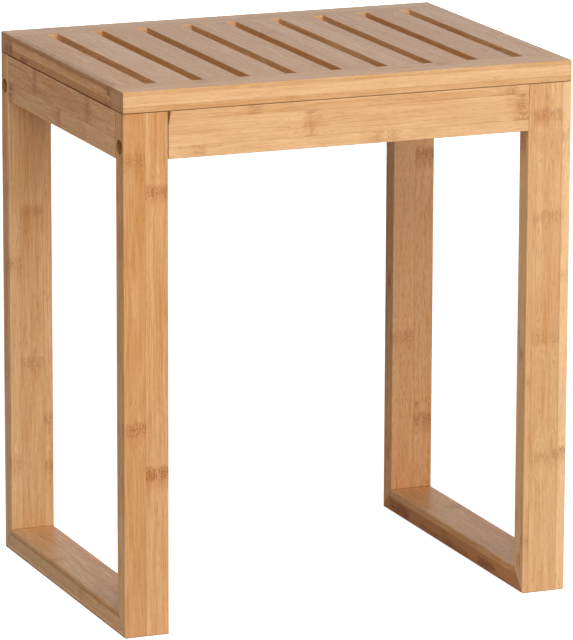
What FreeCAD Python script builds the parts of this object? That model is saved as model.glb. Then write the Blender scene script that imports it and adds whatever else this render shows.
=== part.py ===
import FreeCAD, Part

# Bamboo shower stool: a slatted seat on two closed side frames, joined by two long aprons.
# Frame: +Z up, X left to right, Y front (-) to back (+). The origin is on the floor under the
# middle of the seat. Lengths are millimetres.

import os
import Sketcher
from FreeCAD import Placement, Rotation, Vector

doc = FreeCAD.newDocument("shower_stool")

# Driving dimensions. Each can be changed by itself.
SIZES = {
    # the whole stool
    "stool_width": 400,
    "stool_depth": 300,
    "stool_height": 460,
    # seat panel
    "seat_thickness": 18,
    "seat_rail_width": 30,
    "slat_count": 10,
    "slat_gap": 10,  # between two slats, which share the rest of the width
    # side frames
    "leg_width": 39,  # across the front, also the width of the foot rail
    "leg_thickness": 18,
    "foot_rail_thickness": 20,
    "side_apron_height": 40,
    "side_apron_thickness": 18,
    # boards between the frames
    "long_apron_height": 40,
    "long_apron_thickness": 18,
    # rounded edges
    "edge_ease": 1,  # long edges of every board
    "slot_ease": 0.5,  # edges beside the drain slots
    "foot_round": 1.5,  # everything that meets the floor
    # wooden dowels
    "seat_dowel_diameter": 8,
    "seat_dowel_length": 34,
    "seat_dowel_cover": 13.5,  # wood left between a seat dowel's hole and the rail's outer edge
    "frame_dowel_diameter": 8,
    "frame_dowel_length": 30,
    "frame_dowel_cover": 6.5,  # wood left between a frame dowel's hole and the leg's face
    "apron_dowel_diameter": 8,
    "apron_dowel_length": 30,
    "apron_dowel_leg_depth": 11,
    "dowel_bevel": 0.8,
    "dowel_end_room": 0.5,  # glue room past each end of a dowel
    "glue_line": 0.05,  # around dowels and tongues
    # loose tongues in the mitred corners
    "tongue_thickness": 4,
    "tongue_width": 12,
    "tongue_cover": 4,  # wood left at each end of a tongue
    "tongue_room": 0.3,
    # connector bolts and their barrel nuts
    "bolt_diameter": 6,
    "bolt_length": 60,  # under the head
    "bolt_head_diameter": 10,
    "bolt_head_height": 6,
    "bolt_socket_width": 5,
    "bolt_socket_depth": 3,
    "bolt_tip_bevel": 0.8,
    "bolt_rise": 11.5,  # above the underside of the long aprons
    "bolt_clearance": 0.25,  # around the shank
    "bolt_tip_room": 2,
    "bolt_past_nut": 5,
    "counterbore_diameter": 12,
    "counterbore_depth": 14,
    "nut_diameter": 10,
    "nut_cover": 2,  # wood left between a nut's hole and the apron's outer face
    "nut_clearance": 0.1,
    "nut_slot_width": 1.2,
    "nut_slot_depth": 1,
    "thread_fit": 0.05,  # between a thread's outside and what it is cut in
    # screws that hold the seat
    "screw_diameter": 4,
    "screw_length": 30,  # under the head
    "screw_bite": 10,  # in the seat
    "screw_head_diameter": 8,
    "screw_head_height": 3,
    "screw_head_bevel": 1,
    "screw_point": 4,
    "screw_cross_length": 4,
    "screw_cross_width": 1,
    "screw_cross_depth": 1.5,
    "screw_hole_diameter": 9,
    "screw_clearance": 0.25,
    "screw_point_room": 1,
    "screw_inset": 72,  # from the end of the long apron
}

# Places and lengths that follow from them.
PLACES = {
    "frame_top": "Size.stool_height - Size.seat_thickness",
    "half_width": "Size.stool_width / 2",
    "half_depth": "Size.stool_depth / 2",
    "side_apron_bottom": "frame_top - Size.side_apron_height",
    "long_apron_bottom": "frame_top - Size.long_apron_height",
    "side_apron_length": "Size.stool_depth - 2 * Size.leg_thickness",
    "long_apron_length": "Size.stool_width - 2 * Size.leg_width",
    "slat_length": "Size.stool_depth - 2 * Size.seat_rail_width",
    "slat_gaps": "Size.slat_gap * (Size.slat_count - 1)",
    "slat_width": "(Size.stool_width - slat_gaps) / Size.slat_count",
    "slat_spread": "Size.stool_width - slat_width",
    "slat_pitch": "slat_width + Size.slat_gap",
    "first_slat": "-slat_spread / 2",
    "seat_middle": "Size.seat_thickness / 2",
    "seat_dowel_hole": "Size.seat_rail_width - Size.seat_dowel_cover",
    "seat_dowel_rest": "Size.seat_dowel_length + 2 * Size.dowel_end_room - seat_dowel_hole",
    "seat_dowel_inset": "Size.seat_dowel_cover + Size.dowel_end_room + Size.seat_dowel_length / 2",
    "bolt_height": "long_apron_bottom + Size.bolt_rise",
    "bolt_inset": "Size.leg_thickness / 2",
    "bolt_wood": "Size.leg_width - Size.counterbore_depth",
    "bolt_reach": "Size.bolt_length - bolt_wood",
    "nut_inset": "bolt_reach - Size.bolt_past_nut - Size.nut_diameter / 2",
    "nut_length": "2 * (bolt_inset - Size.nut_cover)",
    "dowel_height": "(bolt_height + Size.counterbore_diameter / 2 + frame_top) / 2",
    "frame_dowel_hole": "Size.leg_thickness - Size.frame_dowel_cover",
    "frame_dowel_rest": "Size.frame_dowel_length + 2 * Size.dowel_end_room - frame_dowel_hole",
    "frame_dowel_inset": "Size.frame_dowel_cover + Size.dowel_end_room + Size.frame_dowel_length / 2",
    "side_apron_middle": "Size.side_apron_thickness / 2",
    "apron_dowel_hole": "Size.apron_dowel_leg_depth + Size.dowel_end_room",
    "apron_dowel_rest": "Size.apron_dowel_length + 2 * Size.dowel_end_room - apron_dowel_hole",
    "apron_dowel_inset": "Size.leg_width - Size.apron_dowel_leg_depth + Size.apron_dowel_length / 2",
    "groove_length": "Size.leg_width - 2 * Size.tongue_cover",
    "mitre_angle": "atan(Size.foot_rail_thickness / Size.leg_thickness)",
    "screw_place": "long_apron_length / 2 - Size.screw_inset",
    "long_apron_middle": "Size.long_apron_thickness / 2",
    "screw_wood": "Size.screw_length - Size.screw_bite",
    "screw_hole_depth": "Size.long_apron_height - screw_wood",
}


def fill_sheet(name, rows):
    sheet = doc.addObject("Spreadsheet::Sheet", name)
    for row, (alias, content) in enumerate(rows.items(), start=1):
        sheet.set(f"A{row}", alias)
        sheet.set(f"B{row}", content)
        sheet.setAlias(f"B{row}", alias)
    doc.recompute()
    return sheet


size = fill_sheet("Size", {alias: str(value) for alias, value in SIZES.items()})
place = fill_sheet("Place", {alias: "=" + formula for alias, formula in PLACES.items()})

parts = []  # every object that becomes a node, in the order they are made
SAME_PLACE = 1e-3  # places closer than this are one

# Sketches and features

# The origin plane across each axis, and which way the plane faces along it.
PLANES = {"x": ("YZ_Plane", 1), "y": ("XZ_Plane", -1), "z": ("XY_Plane", 1)}
AXES = {"x": Vector(1, 0, 0), "y": Vector(0, 1, 0), "z": Vector(0, 0, 1)}


def new_body(label, x="0", y="0", z="0"):
    body = doc.addObject("PartDesign::Body", label)
    body.Label = label
    for axis, where in (("x", x), ("y", y), ("z", z)):
        body.setExpression(f"Placement.Base.{axis}", where)
    return body


def new_sketch(body, name, axis, at="0", u="0", v="0", turn=None):
    """A sketch across an axis, at a place along it, with its origin moved to (u, v)."""
    role, facing = PLANES[axis]
    plane = next(item for item in body.Origin.OriginFeatures if item.Role == role)
    sketch = body.newObject("Sketcher::SketchObject", f"{body.Name}_{name}")
    sketch.AttachmentSupport = (plane, "")
    sketch.MapMode = "FlatFace"
    sketch.setExpression("AttachmentOffset.Base.x", u)
    sketch.setExpression("AttachmentOffset.Base.y", v)
    sketch.setExpression("AttachmentOffset.Base.z", f"{facing} * ({at})")
    if turn:
        sketch.setExpression("AttachmentOffset.Rotation.Angle", turn)
    return sketch


def pin_point(sketch, geometry, end, u=None, v=None):
    """Hold a point at a distance from the sketch's origin, on the side where it is drawn."""
    drawn = sketch.getPoint(geometry, end)
    for direction, offset, expression in (("X", drawn.x, u), ("Y", drawn.y, v)):
        if expression:
            points = (-1, 1, geometry, end) if offset > 0 else (geometry, end, -1, 1)
            constraint = Sketcher.Constraint(f"Distance{direction}", *points, abs(offset))
            index = sketch.addConstraint(constraint)
            sketch.renameConstraint(index, f"pin_{index}")
            sketch.setExpression(f"Constraints.pin_{index}", expression)


def draw_outline(sketch, corners):
    """A closed outline of straight edges; returns the number of each edge."""
    points = [Vector(u, v, 0) for u, v in corners]
    edges = []
    for start, end in zip(points, points[1:] + points[:1]):
        edges.append(sketch.addGeometry(Part.LineSegment(start, end), False))
    for edge, following in zip(edges, edges[1:] + edges[:1]):
        sketch.addConstraint(Sketcher.Constraint("Coincident", edge, 2, following, 1))
    return edges


def draw_rectangle(sketch, width, height):
    """A rectangle about the sketch's origin."""
    bottom, right, top, left = draw_outline(sketch, ((-2, -1), (2, -1), (2, 1), (-2, 1)))
    for edge in (bottom, top):
        sketch.addConstraint(Sketcher.Constraint("Horizontal", edge))
    for edge in (right, left):
        sketch.addConstraint(Sketcher.Constraint("Vertical", edge))
    sketch.addConstraint(Sketcher.Constraint("Symmetric", bottom, 1, top, 1, -1, 1))
    pin_point(sketch, top, 1, u=f"({width}) / 2", v=f"({height}) / 2")


def draw_circle(sketch, diameter):
    """A circle about the sketch's origin."""
    circle = sketch.addGeometry(Part.Circle(Vector(0, 0, 0), AXES["z"], 1), False)
    sketch.addConstraint(Sketcher.Constraint("Coincident", circle, 3, -1, 1))
    index = sketch.addConstraint(Sketcher.Constraint("Diameter", circle, 2))
    sketch.renameConstraint(index, "diameter")
    sketch.setExpression("Constraints.diameter", diameter)


def draw_hexagon(sketch, width):
    """A regular hexagon about the sketch's origin, its width measured across the flats."""
    corners = ((2, 0), (1, 1.7), (-1, 1.7), (-2, 0), (-1, -1.7), (1, -1.7))
    edges = draw_outline(sketch, corners)
    for (u, v), edge in zip(corners, edges):
        if v:
            pin_point(sketch, edge, 1, u=f"{width} / 4 / cos(30 deg)", v=f"{width} / 2")
        else:
            sketch.addConstraint(Sketcher.Constraint("PointOnObject", edge, 1, -1))
            pin_point(sketch, edge, 1, u=f"{width} / 2 / cos(30 deg)")


def draw_turned(sketch, corners):
    """Half the outline of a turned piece: each corner's radius and height, 0 on the axes.

    A corner is ((radius, height), (radius as drawn, height as drawn)).
    """
    edges = draw_outline(sketch, [drawn for _, drawn in corners])
    for edge, ((radius, height), _) in zip(edges, corners):
        if radius == 0:
            sketch.addConstraint(Sketcher.Constraint("PointOnObject", edge, 1, -2))
        else:
            pin_point(sketch, edge, 1, u=radius)
        if height == 0:
            sketch.addConstraint(Sketcher.Constraint("PointOnObject", edge, 1, -1))
        else:
            pin_point(sketch, edge, 1, v=height)


def grow(body, sketch, length, middle=False, towards=1):
    """Pad a sketch along its normal, or half each way."""
    pad = body.newObject("PartDesign::Pad", f"{sketch.Name}_pad")
    pad.Profile = sketch
    pad.Midplane = middle
    pad.Reversed = towards < 0
    pad.setExpression("Length", length)
    doc.recompute()
    return pad


def cut(body, sketch, axis, towards, depth=None):
    """Pocket a sketch along its axis, to a depth or right through; towards 0 cuts both ways."""
    before = body.Shape.Volume
    pocket = body.newObject("PartDesign::Pocket", f"{sketch.Name}_cut")
    pocket.Profile = sketch
    pocket.Reversed = towards * PLANES[axis][1] > 0
    if depth:
        pocket.setExpression("Length", depth)
    else:
        pocket.Type = "ThroughAll"
    if towards == 0:
        pocket.SideType = "Symmetric"
    doc.recompute()
    if not body.Shape.Volume < before:
        raise RuntimeError(f"{pocket.Name} cuts nothing")
    return pocket


def drill(body, name, axis, at, towards, u, v, diameter, depth=None):
    sketch = new_sketch(body, name, axis, at, u, v)
    draw_circle(sketch, diameter)
    return cut(body, sketch, axis, towards, depth)


def repeat(body, feature, axis, spread, count):
    """Repeat a feature in an even row along an axis."""
    role = f"{axis.upper()}_Axis"
    line = next(item for item in body.Origin.OriginFeatures if item.Role == role)
    row = body.newObject("PartDesign::LinearPattern", f"{feature.Name}_row")
    row.Originals = [feature]
    row.Direction = (line, [""])
    row.setExpression("Length", spread)
    row.setExpression("Occurrences", count)
    body.Tip = row
    doc.recompute()
    return row


def edges_along(body, axis, chosen=lambda middle: True):
    """The names of a body's straight edges along an axis that are chosen by their middle."""
    names = []
    for number, edge in enumerate(body.Shape.Edges, start=1):
        if edge.Degenerated or edge.Curve.TypeId != "Part::GeomLine":
            continue
        middle = body.Placement.inverse() * edge.CenterOfMass
        if edge.Curve.Direction.isParallel(AXES[axis], SAME_PLACE) and chosen(middle):
            names.append(f"Edge{number}")
    return names


def ease(body, name, radius, edges):
    fillet = body.newObject("PartDesign::Fillet", f"{body.Name}_{name}")
    fillet.Base = (fillet.BaseFeature, edges)
    fillet.setExpression("Radius", radius)
    doc.recompute()


def round_foot(body, name, axis, inward, u="0"):
    """Round a square edge on the floor, right through along an axis.

    The edge stands at u across the board, which lies on its inward side.
    """
    sketch = new_sketch(body, name, axis, u=u)
    corner, floor_end, face_end = Vector(0, 0, 0), Vector(inward, 0, 0), Vector(0, 1, 0)
    centre = floor_end + face_end
    halfway = centre + (corner - centre).normalize()
    floor = sketch.addGeometry(Part.LineSegment(corner, floor_end), False)
    arc = sketch.addGeometry(Part.Arc(floor_end, halfway, face_end), False)
    face = sketch.addGeometry(Part.LineSegment(face_end, corner), False)
    arc_start, arc_end = (1, 2) if sketch.getPoint(arc, 1).isEqual(floor_end, SAME_PLACE) else (2, 1)
    sketch.addConstraint(Sketcher.Constraint("Coincident", floor, 1, -1, 1))
    sketch.addConstraint(Sketcher.Constraint("Coincident", face, 2, -1, 1))
    sketch.addConstraint(Sketcher.Constraint("Horizontal", floor))
    sketch.addConstraint(Sketcher.Constraint("Vertical", face))
    sketch.addConstraint(Sketcher.Constraint("Tangent", floor, 2, arc, arc_start))
    sketch.addConstraint(Sketcher.Constraint("Tangent", face, 1, arc, arc_end))
    pin_point(sketch, floor, 2, u="Size.foot_round")
    return cut(body, sketch, axis, towards=0)


# Boards. side is -1 on the left and 1 on the right; end is -1 at the front and 1 at the back.
# Every board stands on its own outer face or corner, so a place is counted from the outside in.

SIDES = {-1: "left", 1: "right"}
ENDS = {-1: "front", 1: "back"}


def new_board(label, where, middle, width, depth, height):
    """A square-cut board; where places its origin, middle its centre about that."""
    body = new_body(label, *where)
    outline = new_sketch(body, "outline", "z", u=middle[0], v=middle[1])
    draw_rectangle(outline, width, depth)
    grow(body, outline, height)
    parts.append(body)
    return body


def tongue_groove(body, side, end, v):
    """Half of the groove across a mitre, which the loose tongue lies in."""
    middle = f"{v} - {end} * Size.leg_thickness / 2"
    sketch = new_sketch(
        body, f"{ENDS[end]}_groove", "x", f"-{side} * Size.tongue_cover",
        middle, "Size.foot_rail_thickness / 2", turn=f"-{end} * Place.mitre_angle",
    )
    draw_rectangle(
        sketch,
        "Size.tongue_thickness + 2 * Size.glue_line",
        "Size.tongue_width + 2 * Size.tongue_room",
    )
    cut(body, sketch, "x", -side, "Place.groove_length")


def make_leg(side, end):
    """An upright board, mitred at the floor. Its origin is its outer corner on the floor."""
    body = new_body(
        f"{SIDES[side]}_{ENDS[end]}_leg",
        x=f"{side} * Place.half_width",
        y=f"{end} * Place.half_depth",
    )
    outline = new_sketch(body, "outline", "x")
    corners = ((0, 0), (-end, 1), (-end, 9), (0, 9))
    mitre, inner, top, outer = draw_outline(outline, corners)
    outline.addConstraint(Sketcher.Constraint("Coincident", mitre, 1, -1, 1))
    outline.addConstraint(Sketcher.Constraint("Vertical", inner))
    outline.addConstraint(Sketcher.Constraint("Horizontal", top))
    outline.addConstraint(Sketcher.Constraint("Vertical", outer))
    pin_point(outline, inner, 1, u="Size.leg_thickness", v="Size.foot_rail_thickness")
    pin_point(outline, top, 1, v="Place.frame_top")
    grow(body, outline, "Size.leg_width", towards=-side)
    ease(body, "long_edges", "Size.edge_ease", edges_along(body, "z"))
    round_foot(body, "toe", "x", -end)
    round_foot(body, "outer_foot", "y", -side)
    round_foot(body, "inner_foot", "y", side, u=f"-{side} * Size.leg_width")
    tongue_groove(body, side, end, "0")

    bolt_u, bolt_v = f"-{end} * Place.bolt_inset", "Place.bolt_height"
    drill(
        body, "bolt_recess", "x", "0", -side, bolt_u, bolt_v,
        "Size.counterbore_diameter", "Size.counterbore_depth",
    )
    drill(
        body, "bolt_hole", "x", "0", -side, bolt_u, bolt_v,
        "Size.bolt_diameter + 2 * Size.bolt_clearance",
    )
    drill(
        body, "apron_dowel_hole", "x", f"-{side} * Size.leg_width", side,
        bolt_u, "Place.dowel_height",
        "Size.apron_dowel_diameter + 2 * Size.glue_line", "Place.apron_dowel_hole",
    )
    drill(
        body, "frame_dowel_hole", "y", f"-{end} * Size.leg_thickness", end,
        f"-{side} * Place.side_apron_middle", "Place.dowel_height",
        "Size.frame_dowel_diameter + 2 * Size.glue_line", "Place.frame_dowel_hole",
    )
    parts.append(body)


def make_foot_rail(side):
    """The board on the floor, mitred to both legs."""
    body = new_body(f"{SIDES[side]}_foot_rail", x=f"{side} * Place.half_width")
    outline = new_sketch(body, "outline", "x")
    corners = ((-9, 0), (9, 0), (8, 1), (-8, 1))
    bottom, back, top, front = draw_outline(outline, corners)
    outline.addConstraint(Sketcher.Constraint("Symmetric", bottom, 1, bottom, 2, -2))
    outline.addConstraint(Sketcher.Constraint("Symmetric", top, 1, top, 2, -2))
    outline.addConstraint(Sketcher.Constraint("PointOnObject", bottom, 1, -1))
    pin_point(outline, bottom, 2, u="Place.half_depth")
    pin_point(outline, top, 1, u="Place.side_apron_length / 2", v="Size.foot_rail_thickness")
    grow(body, outline, "Size.leg_width", towards=-side)
    ease(body, "top_edges", "Size.edge_ease", edges_along(body, "y", lambda middle: middle.z > 0))
    round_foot(body, "outer_foot", "y", -side)
    round_foot(body, "inner_foot", "y", side, u=f"-{side} * Size.leg_width")
    for end in ENDS:
        round_foot(body, f"{ENDS[end]}_toe", "x", -end, u=f"{end} * Place.half_depth")
        tongue_groove(body, side, end, f"{end} * Place.half_depth")
    parts.append(body)


def make_side_apron(side):
    """The upright board between a frame's two legs, flush with their outer sides."""
    body = new_board(
        f"{SIDES[side]}_side_apron",
        (f"{side} * Place.half_width", "0", "Place.side_apron_bottom"),
        (f"-{side} * Size.side_apron_thickness / 2", "0"),
        "Size.side_apron_thickness", "Place.side_apron_length", "Size.side_apron_height",
    )
    ease(body, "long_edges", "Size.edge_ease", edges_along(body, "y"))
    for end in ENDS:
        drill(
            body, f"{ENDS[end]}_dowel_hole", "y", f"{end} * Place.side_apron_length / 2", -end,
            f"-{side} * Place.side_apron_middle", "Place.dowel_height - Place.side_apron_bottom",
            "Size.frame_dowel_diameter + 2 * Size.glue_line", "Place.frame_dowel_rest",
        )


def make_long_apron(end):
    """The upright board that joins the two frames, flush with the legs' faces."""
    body = new_board(
        f"{ENDS[end]}_apron",
        ("0", f"{end} * Place.half_depth", "Place.long_apron_bottom"),
        ("0", f"-{end} * Size.long_apron_thickness / 2"),
        "Place.long_apron_length", "Size.long_apron_thickness", "Size.long_apron_height",
    )
    ease(body, "long_edges", "Size.edge_ease", edges_along(body, "x"))
    inset = f"-{end} * Place.bolt_inset"
    for side, name in SIDES.items():
        apron_end = f"{side} * Place.long_apron_length / 2"
        drill(
            body, f"{name}_bolt_hole", "x", apron_end, -side, inset, "Size.bolt_rise",
            "Size.bolt_diameter + 2 * Size.bolt_clearance",
            "Place.bolt_reach + Size.bolt_tip_room",
        )
        drill(
            body, f"{name}_dowel_hole", "x", apron_end, -side,
            inset, "Place.dowel_height - Place.long_apron_bottom",
            "Size.apron_dowel_diameter + 2 * Size.glue_line", "Place.apron_dowel_rest",
        )
        drill(
            body, f"{name}_nut_hole", "y", f"-{end} * Size.long_apron_thickness", end,
            f"{apron_end} - {side} * Place.nut_inset", "Size.bolt_rise",
            "Size.nut_diameter + 2 * Size.nut_clearance",
            "Size.long_apron_thickness - Size.nut_cover",
        )
        screw_u, screw_v = f"{side} * Place.screw_place", f"-{end} * Place.long_apron_middle"
        drill(
            body, f"{name}_screw_recess", "z", "0", 1, screw_u, screw_v,
            "Size.screw_hole_diameter", "Place.screw_hole_depth",
        )
        drill(
            body, f"{name}_screw_hole", "z", "0", 1, screw_u, screw_v,
            "Size.screw_diameter + 2 * Size.screw_clearance",
        )


def make_seat_rail(end):
    """A cross rail of the seat, its end grain showing on both sides."""
    body = new_board(
        f"seat_{ENDS[end]}_rail",
        ("0", f"{end} * Place.half_depth", "Place.frame_top"),
        ("0", f"-{end} * Size.seat_rail_width / 2"),
        "Size.stool_width", "Size.seat_rail_width", "Size.seat_thickness",
    )
    half_rail = size.seat_rail_width / 2
    outer = (
        edges_along(body, "x", lambda middle: abs(middle.y) < half_rail)
        + edges_along(body, "z", lambda middle: abs(middle.y) < half_rail)
        + edges_along(body, "y")
    )
    ease(body, "outer_edges", "Size.edge_ease", outer)
    inner = edges_along(body, "x", lambda middle: abs(middle.y) > half_rail)
    ease(body, "inner_edges", "Size.slot_ease", inner)
    first_hole = drill(
        body, "slat_dowel_hole", "y", f"-{end} * Size.seat_rail_width", end,
        "Place.first_slat", "Place.seat_middle",
        "Size.seat_dowel_diameter + 2 * Size.glue_line", "Place.seat_dowel_hole",
    )
    repeat(body, first_hole, "x", "Place.slat_spread", "Size.slat_count")
    for side, name in SIDES.items():
        drill(
            body, f"{name}_screw_hole", "z", "0", 1,
            f"{side} * Place.screw_place", f"-{end} * Place.long_apron_middle",
            "Size.screw_diameter + 2 * Size.thread_fit", "Size.screw_bite + Size.screw_point_room",
        )


def make_slat(number):
    """One slat of the seat; the first and the last are the seat's left and right sides."""
    outer_face = place.slat_width / 2 - SAME_PLACE
    body = new_board(
        f"seat_slat_{number + 1:02d}",
        (f"Place.first_slat + {number} * Place.slat_pitch", "0", "Place.frame_top"),
        ("0", "0"),
        "Place.slat_width", "Place.slat_length", "Size.seat_thickness",
    )
    outer_side = {0: -1, size.slat_count - 1: 1}.get(number, 0)
    slot_edges = edges_along(body, "y", lambda middle: middle.x * outer_side <= 0)
    ease(body, "slot_edges", "Size.slot_ease", slot_edges)
    if outer_side:
        outer_edges = edges_along(body, "y", lambda middle: middle.x * outer_side >= outer_face)
        ease(body, "outer_edges", "Size.edge_ease", outer_edges)
    for end in ENDS:
        drill(
            body, f"{ENDS[end]}_dowel_hole", "y", f"{end} * Place.slat_length / 2", -end,
            "0", "Place.seat_middle",
            "Size.seat_dowel_diameter + 2 * Size.glue_line", "Place.seat_dowel_rest",
        )


# Small pieces. One of each kind is made about its own origin, and each node holds as many
# copies as the stool has.


def make_dowel(name):
    """A wooden dowel about its middle, along Z, with bevelled ends."""
    body = new_body(name)
    section = new_sketch(body, "section", "z")
    draw_circle(section, f"Size.{name}_diameter")
    rod = grow(body, section, f"Size.{name}_length", middle=True)
    bevel = body.newObject("PartDesign::Chamfer", f"{name}_bevel")
    rims = [number for number, edge in enumerate(rod.Shape.Edges, start=1) if edge.Closed]
    bevel.Base = (rod, [f"Edge{number}" for number in rims])
    bevel.setExpression("Size", "Size.dowel_bevel")
    doc.recompute()
    return body


def make_tongue():
    """A loose tongue about its middle: its length along X, its width along Z."""
    body = new_body("mitre_tongue")
    section = new_sketch(body, "section", "x")
    draw_rectangle(section, "Size.tongue_thickness", "Size.tongue_width")
    grow(body, section, "Place.groove_length - 2 * Size.tongue_room", middle=True)
    return body


def turn_piece(body, corners):
    """Turn half an outline about Z into a round piece."""
    outline = new_sketch(body, "outline", "y")
    draw_turned(outline, corners)
    turned = body.newObject("PartDesign::Revolution", f"{body.Name}_turned")
    turned.Profile = outline
    turned.ReferenceAxis = (outline, ["V_Axis"])
    turned.Angle = 360
    doc.recompute()


def make_bolt():
    """A bolt with a socket head: the underside of the head at the origin, the shank up Z."""
    body = new_body("connector_bolt")
    head, shank = "Size.bolt_head_diameter / 2", "Size.bolt_diameter / 2"
    tip, bevel = "Size.bolt_length", "Size.bolt_tip_bevel"
    turn_piece(body, (
        ((0, "Size.bolt_head_height"), (0, -6)),
        ((head, "Size.bolt_head_height"), (5, -6)),
        ((head, 0), (5, 0)),
        ((shank, 0), (3, 0)),
        ((shank, f"{tip} - {bevel}"), (3, 59)),
        ((f"{shank} - {bevel}", tip), (2, 60)),
        ((0, tip), (0, 60)),
    ))
    socket = new_sketch(body, "socket", "z", "-Size.bolt_head_height")
    draw_hexagon(socket, "Size.bolt_socket_width")
    cut(body, socket, "z", 1, "Size.bolt_socket_depth")
    return body


def make_nut():
    """A barrel nut about its middle, along Z: the bolt's bore along X, a slot in its top end."""
    body = new_body("barrel_nut")
    section = new_sketch(body, "section", "z")
    draw_circle(section, "Size.nut_diameter")
    grow(body, section, "Place.nut_length", middle=True)
    drill(body, "bore", "x", "0", 0, "0", "0", "Size.bolt_diameter + 2 * Size.thread_fit")
    slot = new_sketch(body, "slot", "z", "Place.nut_length / 2")
    draw_rectangle(slot, "Size.nut_diameter + Size.nut_slot_width", "Size.nut_slot_width")
    cut(body, slot, "z", -1, "Size.nut_slot_depth")
    return body


def make_screw():
    """A wood screw: the underside of its head at the origin, its point up Z."""
    body = new_body("seat_screw")
    head, shank = "Size.screw_head_diameter / 2", "Size.screw_diameter / 2"
    tip, bevel = "Size.screw_length", "Size.screw_head_bevel"
    turn_piece(body, (
        ((0, "Size.screw_head_height"), (0, -3)),
        ((f"{head} - {bevel}", "Size.screw_head_height"), (3, -3)),
        ((head, f"Size.screw_head_height - {bevel}"), (4, -2)),
        ((head, 0), (4, 0)),
        ((shank, 0), (2, 0)),
        ((shank, f"{tip} - Size.screw_point"), (2, 26)),
        ((0, tip), (0, 30)),
    ))
    for name, width, height in (("cross_bar", "length", "width"), ("cross_post", "width", "length")):
        bar = new_sketch(body, name, "z", "-Size.screw_head_height")
        draw_rectangle(bar, f"Size.screw_cross_{width}", f"Size.screw_cross_{height}")
        cut(body, bar, "z", 1, "Size.screw_cross_depth")
    return body


def make_group(label, piece, places):
    """A node of several copies of a piece, each placed by ((x, y, z), axis turned about, angle)."""
    copies = []
    for number, (where, turned_about, angle) in enumerate(places, start=1):
        copy = doc.addObject("App::Link", f"{label}_{number}")
        copy.LinkedObject = piece
        copy.Placement = Placement(Vector(0, 0, 0), Rotation(AXES[turned_about], 1))
        copy.setExpression("Placement.Rotation.Angle", angle)
        for axis, expression in zip(AXES, where):
            copy.setExpression(f"Placement.Base.{axis}", expression)
        copies.append(copy)
    group = doc.addObject("Part::Compound", label)
    group.Label = label
    group.Links = copies
    parts.append(group)


CORNERS = [(side, end) for side in SIDES for end in ENDS]
SLATS = range(size.slat_count)

for end in ENDS:
    make_seat_rail(end)
for number in SLATS:
    make_slat(number)
for side, end in CORNERS:
    make_leg(side, end)
for side in SIDES:
    make_side_apron(side)
    make_foot_rail(side)
for end in ENDS:
    make_long_apron(end)

seat_dowel = make_dowel("seat_dowel")
for end, name in ENDS.items():
    seat_dowel_y = f"{end} * (Place.half_depth - Place.seat_dowel_inset)"
    make_group(f"seat_{name}_dowels", seat_dowel, [
        (
            (
                f"Place.first_slat + {number} * Place.slat_pitch",
                seat_dowel_y,
                "Place.frame_top + Place.seat_middle",
            ),
            "x", "90",
        )
        for number in SLATS
    ])

frame_dowel = make_dowel("frame_dowel")
tongue = make_tongue()
for side, name in SIDES.items():
    make_group(f"{name}_frame_dowels", frame_dowel, [
        (
            (
                f"{side} * (Place.half_width - Place.side_apron_middle)",
                f"{end} * (Place.half_depth - Place.frame_dowel_inset)",
                "Place.dowel_height",
            ),
            "x", "90",
        )
        for end in ENDS
    ])
    make_group(f"{name}_mitre_tongues", tongue, [
        (
            (
                f"{side} * (Place.half_width - Size.leg_width / 2)",
                f"{end} * (Place.half_depth - Size.leg_thickness / 2)",
                "Size.foot_rail_thickness / 2",
            ),
            "x", f"-{end} * Place.mitre_angle",
        )
        for end in ENDS
    ])


def at_corners(inset_x, inset_y, height):
    """A place at every corner of the stool, counted in from the outer faces."""
    for side, end in CORNERS:
        x = f"{side} * (Place.half_width - ({inset_x}))"
        y = f"{end} * (Place.half_depth - {inset_y})"
        yield side, end, (x, y, height)


make_group("apron_dowels", make_dowel("apron_dowel"), [
    (where, "y", "90")
    for side, end, where in at_corners(
        "Place.apron_dowel_inset", "Place.bolt_inset", "Place.dowel_height")
])
make_group("connector_bolts", make_bolt(), [
    (where, "y", f"{-90 * side}")
    for side, end, where in at_corners(
        "Size.counterbore_depth", "Place.bolt_inset", "Place.bolt_height")
])
make_group("barrel_nuts", make_nut(), [
    (where, "x", f"{90 * end}")
    for side, end, where in at_corners(
        "Size.leg_width + Place.nut_inset", "Place.bolt_inset", "Place.bolt_height")
])
make_group("seat_screws", make_screw(), [
    (where, "z", "0")
    for side, end, where in at_corners(
        "Size.leg_width + Size.screw_inset", "Place.long_apron_middle",
        "Place.long_apron_bottom + Place.screw_hole_depth")
])

# Check everything, then write one file for each part.
doc.recompute()
for item in doc.Objects:
    if "Invalid" in item.State or "Error" in item.State:
        raise RuntimeError(f"{item.Name} failed: {item.State}")
for part in parts:
    if part.Shape.isNull() or not part.Shape.isValid():
        raise RuntimeError(f"{part.Label} has no sound shape")

os.makedirs("parts", exist_ok=True)
for part in parts:
    part.Shape.exportStep(f"parts/{part.Label}.step")
    print(f"{part.Label}: {len(part.Shape.Solids)} solid(s), {part.Shape.Volume:.0f} mm3")
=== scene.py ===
import math

import bpy
from mathutils import Matrix, Vector


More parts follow.
